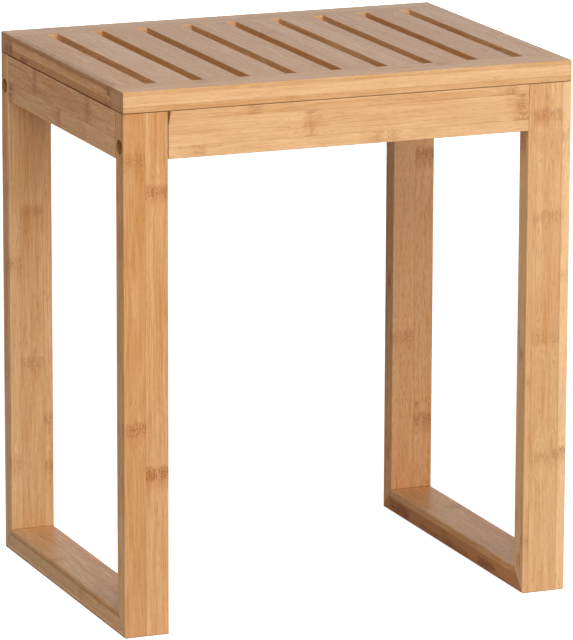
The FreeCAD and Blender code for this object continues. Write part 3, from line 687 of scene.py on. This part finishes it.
def makeZincSteel(name, coordinateName=None):
    # parts made here carry their own millimetre coordinates, the frame's own parts do not
    material, tree = startMaterial(name)
    if coordinateName:
        place = addNode(tree, "ShaderNodeAttribute", attribute_name=coordinateName, out="Vector")
    else:
        place = addNode(tree, "ShaderNodeTexCoord", out="Object")
        place = addNode(tree, "ShaderNodeVectorMath", {0: place, "Scale": 1 / mm}, operation="SCALE")
    bloom = addNode(
        tree, "ShaderNodeTexVoronoi", {"Vector": place, "Scale": 1 / zincSteel["bloomSize"]},
        out="Color")
    bloom = addNode(tree, "ShaderNodeSeparateColor", {0: bloom})
    smudge = addNode(
        tree, "ShaderNodeTexNoise",
        {"Vector": place, "Scale": 1 / zincSteel["smudgeSize"], "Detail": 4})
    smudge = ramp(tree, smudge, *zincSteel["smudgeRange"], curve="LINEAR")
    drawn = addNode(
        tree, "ShaderNodeMapping", {"Vector": place, "Scale": zincSteel["scratchStretch"]})
    scratch = addNode(
        tree, "ShaderNodeTexNoise",
        {"Vector": drawn, "Scale": 1 / zincSteel["scratchWidth"], "Detail": 2})
    colour = blend(tree, bloom, linear(zincSteel["bright"]), linear(zincSteel["dull"]))
    faint = calc(tree, "MULTIPLY", smudge, zincSteel["smudgeShare"])
    colour = blend(tree, faint, colour, linear(zincSteel["smudge"]))
    rough = calc(
        tree, "MULTIPLY_ADD", smudge, zincSteel["smudgeRoughness"], zincSteel["roughness"])
    rough = calc(tree, "MULTIPLY_ADD", bloom, zincSteel["bloomRoughness"], rough)
    bump = addNode(
        tree, "ShaderNodeBump",
        {"Height": scratch, "Strength": 0.3, "Distance": zincSteel["scratchDepth"] * mm},
        out="Normal")
    endMaterial(tree, addNode(
        tree, "ShaderNodeBsdfPrincipled",
        {"Base Color": colour, "Roughness": rough, "Normal": bump, "Metallic": 1}))
    return material


# Beech dowels, turned and then pressed with flutes for the glue: pale pink-brown, with the
# short dark dashes that beech shows along its grain. Sizes are in mm.
beech = {
    "pale": "#DDBB92",
    "deep": "#C39A6E",
    "dash": "#8F6440",
    "grainWidth": 0.9,
    "grainLength": 14,
    "grainRoughness": 0.12,
    "grainDepth": 0.05,
    "dashWidth": 0.25,
    "dashLength": 1.8,
    "dashRange": (0.6, 0.7),
    "dashShare": 0.5,
    "copyStep": 5.3,  # between the noises of neighbouring dowels
    "roughness": 0.62,
    "ior": 1.5,
}


def makeBeech():
    material, tree = startMaterial("beechDowel")
    place = addNode(tree, "ShaderNodeAttribute", attribute_name="local", out="Vector")
    copy = addNode(tree, "ShaderNodeAttribute", attribute_name="copy", out="Fac")
    copy = calc(tree, "MULTIPLY", copy, beech["copyStep"])

    def stretched(width, length, detail):
        drawn = addNode(
            tree, "ShaderNodeMapping", {"Vector": place, "Scale": (1 / width, 1 / width, 1 / length)})
        return addNode(
            tree, "ShaderNodeTexNoise",
            {"Vector": drawn, "W": copy, "Scale": 1, "Detail": detail}, noise_dimensions="4D")

    grain = stretched(beech["grainWidth"], beech["grainLength"], 3)
    dash = stretched(beech["dashWidth"], beech["dashLength"], 0)
    dash = ramp(tree, dash, *beech["dashRange"], curve="LINEAR")
    colour = blend(tree, grain, linear(beech["pale"]), linear(beech["deep"]))
    faint = calc(tree, "MULTIPLY", dash, beech["dashShare"])
    colour = blend(tree, faint, colour, linear(beech["dash"]))
    rough = calc(tree, "MULTIPLY_ADD", grain, beech["grainRoughness"], beech["roughness"])
    bump = addNode(
        tree, "ShaderNodeBump",
        {"Height": grain, "Strength": 0.6, "Distance": beech["grainDepth"] * mm}, out="Normal")
    endMaterial(tree, addNode(
        tree, "ShaderNodeBsdfPrincipled",
        {"Base Color": colour, "Roughness": rough, "Normal": bump, "IOR": beech["ior"]}))
    return material


# Turned parts are a profile swept about Z: each ring is a height, a radius and an outline, in mm.
turnedSides = 24
outlines = {
    "round": lambda step: 1,
    "hexagon": lambda step: 1 / math.cos(math.radians((step * 360 / turnedSides + 30) % 60 - 30)),
    "ribbed": lambda step: 1 if step % 2 else 0.955,
    "cross": lambda step: (1, 0.97, 0.5, 0.36, 0.5, 0.97)[step % 6],
}
# The inset runs from the corner of the node's box to the axis of the fastener there.
connectorBolt = {
    "inset": 4.99,
    "headHeight": 6,
    "rings": (
        (-59.95, 0, "round"), (-59.95, 1.9, "round"), (-59.2, 2.55, "round"), (-24, 2.55, "round"),
        (-23.4, 2.98, "round"), (0, 2.98, "round"), (0, 4.6, "round"), (0.4, 4.98, "ribbed"),
        (4.9, 4.98, "ribbed"), (5.95, 4.2, "round"), (5.95, 2.75, "hexagon"),
        (5.7, 2.5, "hexagon"), (3, 2.5, "hexagon"), (2.6, 0, "round"),
    ),
    # the real pitch is 1 mm, which would take too many faces
    "thread": {"Core": 2.55, "Depth": 0.43, "Start": -59, "Length": 34.5, "Turns": 20.0},
}
seatScrew = {
    "inset": 3.99,
    "headHeight": 3,
    "rings": (
        (30, 0, "round"), (26, 1.35, "round"), (12, 1.4, "round"), (11.4, 1.6, "round"),
        (0, 1.6, "round"), (0, 3.6, "round"), (-0.4, 3.97, "round"), (-2.0, 3.97, "round"),
        (-2.95, 2.9, "round"), (-2.95, 2.0, "cross"), (-1.5, 1.7, "cross"), (-1.5, 0, "round"),
    ),
    "thread": {"Core": 1.35, "Depth": 0.6, "Start": 12.5, "Length": 14.5, "Turns": 8.0},
}
dowel = {
    "inset": 4, "radius": 3.97, "tipRadius": 3.1, "tip": 0.9, "seatLength": 33.98,
    "frameLength": 29.98, "frameHalf": 15,  # half of the solid's length, which is a little longer
}


def dowelRings(length):
    half, tip = length / 2, dowel["tip"]
    return (
        (-half, 0, "round"), (-half, dowel["tipRadius"], "round"),
        (tip - half, dowel["radius"], "ribbed"), (half - tip, dowel["radius"], "ribbed"),
        (half, dowel["tipRadius"], "round"), (half, 0, "round"),
    )


def makeTurned(name, rings):
    # the rings run so that their faces look outwards when the heights rise
    sides = turnedSides
    vertices, faces, previous = [], [], None
    ordered = rings if rings[0][0] < rings[-1][0] else rings[::-1]
    for height, radius, outline in ordered:
        if radius == 0:
            vertices.append((0, 0, height * mm))
            current = [len(vertices) - 1] * sides
        else:
            current = []
            for step in range(sides):
                reach = radius * outlines[outline](step) * mm
                turn = math.tau * step / sides
                current.append(len(vertices))
                vertices.append((reach * math.cos(turn), reach * math.sin(turn), height * mm))
        if previous:
            for step in range(sides):
                after = (step + 1) % sides
                ring = (previous[step], previous[after], current[after], current[step])
                faces.append(tuple(dict.fromkeys(ring)))
        previous = current
    mesh = bpy.data.meshes.new(name)
    mesh.from_pydata(vertices, [], faces)
    return bpy.data.objects.new(name, mesh)


def makeSettingTree():
    # puts a turned part, with its thread, at every point, pointing along the point's aim
    tree = bpy.data.node_groups.new("settingOut", "GeometryNodeTree")
    sockets = {
        "Places": "Geometry", "Part": "Object", "Finish": "Material", "Seed": "Int",
        "Core": "Float", "Depth": "Float", "Start": "Float", "Length": "Float", "Turns": "Float",
    }
    for label, kind in sockets.items():
        tree.interface.new_socket(label, in_out="INPUT", socket_type=f"NodeSocket{kind}")
    tree.interface.new_socket("Parts", in_out="OUTPUT", socket_type="NodeSocketGeometry")
    given = addNode(tree, "NodeGroupInput", out=None).outputs

    part = addNode(tree, "GeometryNodeObjectInfo", {"Object": given["Part"]}, out="Geometry")
    spiral = addNode(
        tree, "GeometryNodeCurveSpiral",
        {
            "Resolution": 10, "Rotations": given["Turns"], "Start Radius": given["Core"],
            "End Radius": given["Core"], "Height": given["Length"],
        })
    spiral = addNode(tree, "GeometryNodeSetCurveNormal", {"Curve": spiral}, mode="Z_UP")
    ridge = addNode(
        tree, "GeometryNodeCurvePrimitiveCircle", {"Resolution": 4, "Radius": given["Depth"]})
    rise = addNode(tree, "ShaderNodeCombineXYZ", {2: given["Start"]})
    thread = addNode(tree, "GeometryNodeCurveToMesh", {"Curve": spiral, "Profile Curve": ridge})
    thread = addNode(tree, "GeometryNodeTransform", {"Geometry": thread, "Translation": rise})
    threaded = addNode(
        tree, "FunctionNodeCompare", {0: given["Turns"], 1: 0.0}, operation="GREATER_THAN")
    thread = addNode(
        tree, "GeometryNodeSwitch", {"Switch": threaded, "True": thread}, input_type="GEOMETRY")
    joined = addNode(tree, "GeometryNodeJoinGeometry", out=None)
    tree.links.new(part, joined.inputs[0])
    tree.links.new(thread, joined.inputs[0])
    position = addNode(tree, "GeometryNodeInputPosition")
    position = addNode(tree, "ShaderNodeVectorMath", {0: position, "Scale": 1 / mm}, operation="SCALE")
    unit = addNode(
        tree, "GeometryNodeStoreNamedAttribute",
        {"Geometry": joined.outputs[0], "Name": "local", "Value": position},
        data_type="FLOAT_VECTOR", domain="POINT")

    aim = addNode(tree, "GeometryNodeInputNamedAttribute", {"Name": "aim"}, data_type="FLOAT_VECTOR")
    facing = addNode(tree, "FunctionNodeAlignRotationToVector", {"Vector": aim}, axis="Z")
    spin = addNode(
        tree, "FunctionNodeRandomValue", {"Min": 0.0, "Max": math.tau, "Seed": given["Seed"]},
        out=1, data_type="FLOAT")
    spin = addNode(tree, "FunctionNodeAxisAngleToRotation", {"Axis": (0, 0, 1), "Angle": spin})
    turned = addNode(
        tree, "FunctionNodeRotateRotation", {"Rotation": facing, "Rotate By": spin},
        rotation_space="LOCAL")
    parts = addNode(
        tree, "GeometryNodeInstanceOnPoints",
        {"Points": given["Places"], "Instance": unit, "Rotation": turned})
    parts = addNode(tree, "GeometryNodeRealizeInstances", {"Geometry": parts})
    parts = addNode(tree, "GeometryNodeSetMaterial", {"Geometry": parts, "Material": given["Finish"]})
    result = addNode(tree, "NodeGroupOutput", out=None)
    tree.links.new(parts, result.inputs["Parts"])
    return tree


settingTree = makeSettingTree()
sharpAngle = math.radians(32)  # edges that turn by more stay sharp


def setOut(node, rings, places, finish, seed, thread=None):
    # makes the parts that replace a node of the frame, at (place, aim) pairs
    part = makeTurned(f"{node}_unit", rings)
    scene.collection.objects.link(part)
    mesh = bpy.data.meshes.new(node)
    mesh.from_pydata([place for place, aim in places], [], [])
    mesh.attributes.new("aim", "FLOAT_VECTOR", "POINT")
    mesh.attributes.new("copy", "FLOAT", "POINT")
    for index, (place, aim) in enumerate(places):
        mesh.attributes["aim"].data[index].vector = aim
        mesh.attributes["copy"].data[index].value = index + 1
    group = bpy.data.objects.new(f"{node}_dressed", mesh)
    scene.collection.objects.link(group)
    modifier = group.modifiers.new("settingOut", "NODES")
    modifier.node_group = settingTree
    values = {"Part": part, "Finish": finish, "Seed": seed, "Turns": 0.0}
    if thread:
        values |= {label: thread[label] * mm for label in ("Core", "Depth", "Start", "Length")}
        values["Turns"] = thread["Turns"]
    for item in settingTree.interface.items_tree:
        if item.item_type == "SOCKET" and item.name in values:
            modifier[item.identifier] = values[item.name]
    evaluated = group.evaluated_get(bpy.context.evaluated_depsgraph_get())
    made = bpy.data.meshes.new_from_object(evaluated)
    group.modifiers.clear()
    group.data = made
    made.materials.clear()
    made.materials.append(finish)
    made.shade_smooth()
    made.set_sharp_from_angle(angle=sharpAngle)
    bpy.data.objects.remove(part)
    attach(group, "root")
    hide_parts(node)


def corners(node, inset):
    # the four places where fasteners sit, from the outer corners of their node's box
    low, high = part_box(node)
    middle = (low.z + high.z) / 2
    for x in (low.x, high.x):
        for y in (low.y + inset * mm, high.y - inset * mm):
            yield Vector((x, y, middle))


zincThreaded = makeZincSteel("zincSteelThreaded", "local")
boltPlaces = []
for place in corners("connector_bolts", connectorBolt["inset"]):
    outwards = math.copysign(1, place.x)
    place.x -= outwards * connectorBolt["headHeight"] * mm
    boltPlaces.append((place, (outwards, 0, 0)))
setOut("connector_bolts", connectorBolt["rings"], boltPlaces, zincThreaded, 3, connectorBolt["thread"])
screwPlaces = []
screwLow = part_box("seat_screws")[0].z
for place in corners("seat_screws", seatScrew["inset"]):
    place.x -= math.copysign(seatScrew["inset"] * mm, place.x)
    place.z = screwLow + seatScrew["headHeight"] * mm
    screwPlaces.append((place, (0, 0, 1)))
setOut("seat_screws", seatScrew["rings"], screwPlaces, zincThreaded, 4, seatScrew["thread"])
finishPiece("barrel_nuts", makeZincSteel("zincSteelTurned"))
print("steel: bolts, nuts and screws")


def dowelRow(node, count):
    # a row of dowels that point along Y, from end to end of a node's box
    low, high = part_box(node)
    middle = (low + high) / 2
    first, last = low.x + dowel["inset"] * mm, high.x - dowel["inset"] * mm
    return [
        (Vector((first + (last - first) * index / (count - 1), middle.y, middle.z)), (0, 1, 0))
        for index in range(count)
    ]


beechFinish = makeBeech()
for seed, node in enumerate(("seat_front_dowels", "seat_back_dowels"), start=10):
    setOut(node, dowelRings(dowel["seatLength"]), dowelRow(node, 10), beechFinish, seed)
half = dowel["frameHalf"] * mm
for seed, node in enumerate(("left_frame_dowels", "right_frame_dowels"), start=12):
    low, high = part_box(node)
    middle = (low + high) / 2
    places = [(Vector((middle.x, y, middle.z)), (0, 1, 0)) for y in (low.y + half, high.y - half)]
    setOut(node, dowelRings(dowel["frameLength"]), places, beechFinish, seed)
apronDowels = []
for place in corners("apron_dowels", dowel["inset"]):
    place.x -= math.copysign(half, place.x)
    apronDowels.append((place, (1, 0, 0)))
setOut("apron_dowels", dowelRings(dowel["frameLength"]), apronDowels, beechFinish, 14)
print("beech: dowels in the seat, the frames and the aprons")


# The camera looks slightly down from the front left.
cameraView = {
    "azimuth": -22.248, "elevation": 13.448, "roll": 0.201,  # degrees
    "distance": 4.4787,  # metres, as below
    "middle": (0, 0, 0.225), "right": 0.00418, "up": -0.004219,  # what it looks at, and how far beside
    "lens": 328.4, "sensor": 36,  # mm
    "farthest": 50,
}


def makeCamera():
    azimuth, elevation, roll = (math.radians(cameraView[n]) for n in ("azimuth", "elevation", "roll"))
    back = Vector((
        math.sin(azimuth) * math.cos(elevation),
        -math.cos(azimuth) * math.cos(elevation),
        math.sin(elevation),
    ))
    right = (-back).cross(Vector((0, 0, 1))).normalized()
    up = right.cross(-back)
    right, up = (
        math.cos(roll) * right + math.sin(roll) * up,
        math.cos(roll) * up - math.sin(roll) * right,
    )
    target = Vector(cameraView["middle"]) + cameraView["right"] * right + cameraView["up"] * up
    data = bpy.data.cameras.new("camera")
    data.lens = cameraView["lens"]
    data.sensor_width = cameraView["sensor"]
    data.sensor_fit = "HORIZONTAL"
    data.clip_end = cameraView["farthest"]
    camera = bpy.data.objects.new("camera", data)
    turn = Matrix((right, up, back)).transposed().to_4x4()
    camera.matrix_world = Matrix.Translation(target + cameraView["distance"] * back) @ turn
    scene.collection.objects.link(camera)
    scene.camera = camera


# Soft studio light: a large window of light in front, a weaker one high on the left, and low
# ones in front, behind and on the right that keep the shaded sides from going black. The low
# ones are not mirrored in the varnish, where they would glare. Places and sizes are in metres.
lampsAim = (0, 0, 0.25)
lamps = {
    "front": {"at": (0.0, -2.55, 2.1), "size": (3.0, 1.4), "watts": 56},
    "left": {"at": (-2.2, -1.25, 2.2), "size": (1.6, 1.6), "watts": 33},
    "low": {"at": (0.9, -3.0, 0.95), "size": (2.2, 1.2), "watts": 29, "mirrored": False},
    "behind": {"at": (0.7, 3.0, 0.3), "size": (2.0, 0.5), "watts": 24, "mirrored": False},
    "right": {"at": (3.1, 0.6, 0.4), "size": (2.0, 0.6), "watts": 20, "mirrored": False},
}
room = {"light": 0.0, "seen": 1.0}
# The floor is white to the eye except in the stool's own shadow; in a polished surface only its
# far part is, because what lies near the stool is lit like any floor.
floor = {
    "colour": "#F2F1EF", "size": 14, "glowNear": 0.82, "near": 0.5, "far": 1.6,
    "mirroredNear": 1.6, "mirroredFar": 3.2, "gap": 0.0002,
}


def makeLamps():
    for name, lamp in lamps.items():
        data = bpy.data.lights.new(name, "AREA")
        data.shape = "RECTANGLE"
        data.size, data.size_y = lamp["size"]
        data.energy = lamp["watts"]
        light = bpy.data.objects.new(name, data)
        light.location = lamp["at"]
        aim = Vector(lamp["at"]) - Vector(lampsAim)
        light.rotation_euler = aim.to_track_quat("Z", "Y").to_euler()
        light.visible_camera = False
        light.visible_glossy = lamp.get("mirrored", True)
        scene.collection.objects.link(light)


def seenDirectly(tree):
    # 1 for rays from the camera, a mirror or a glass, 0 for the light that falls on things
    path = addNode(tree, "ShaderNodeLightPath", out=None).outputs
    seen = calc(tree, "MAXIMUM", path["Is Camera Ray"], path["Is Glossy Ray"])
    return calc(tree, "MAXIMUM", seen, path["Is Transmission Ray"])


def makeRoom():
    world = bpy.data.worlds.new("room")
    world.use_nodes = True
    tree = world.node_tree
    tree.nodes.clear()
    strength = ramp(tree, seenDirectly(tree), 0, 1, room["light"], room["seen"], curve="LINEAR")
    background = addNode(tree, "ShaderNodeBackground", {"Color": (1, 1, 1, 1), "Strength": strength})
    addNode(tree, "ShaderNodeOutputWorld", {"Surface": background}, out=None)
    scene.world = world


def makeFloor():
    half = floor["size"] / 2
    mesh = bpy.data.meshes.new("floor")
    low = -floor["gap"]
    mesh.from_pydata(
        [(-half, -half, low), (half, -half, low), (half, half, low), (-half, half, low)], [],
        [(0, 1, 2, 3)])
    plane = bpy.data.objects.new("floor", mesh)
    scene.collection.objects.link(plane)
    material, tree = startMaterial("studioFloor")
    diffuse = addNode(tree, "ShaderNodeBsdfDiffuse", {"Color": linear(floor["colour"])})
    place = addNode(tree, "ShaderNodeTexCoord", out="Object")
    distance = addNode(tree, "ShaderNodeVectorMath", {0: place}, out="Value", operation="LENGTH")
    toEye = ramp(tree, distance, floor["near"], floor["far"], floor["glowNear"], 1)
    toMirror = ramp(tree, distance, floor["mirroredNear"], floor["mirroredFar"])
    path = addNode(tree, "ShaderNodeLightPath", out=None).outputs
    mirrored = calc(tree, "MAXIMUM", path["Is Glossy Ray"], path["Is Transmission Ray"])
    strength = calc(tree, "MULTIPLY", mirrored, toMirror)
    strength = calc(tree, "MULTIPLY_ADD", path["Is Camera Ray"], toEye, strength)
    glow = addNode(tree, "ShaderNodeEmission", {"Color": (1, 1, 1, 1), "Strength": strength})
    both = addNode(tree, "ShaderNodeAddShader", {0: diffuse, 1: glow})
    endMaterial(tree, both)
    mesh.materials.append(material)


makeCamera()
makeLamps()
makeRoom()
makeFloor()
scene.view_settings.view_transform = "Standard"
print("studio: camera, lamps, room and floor")
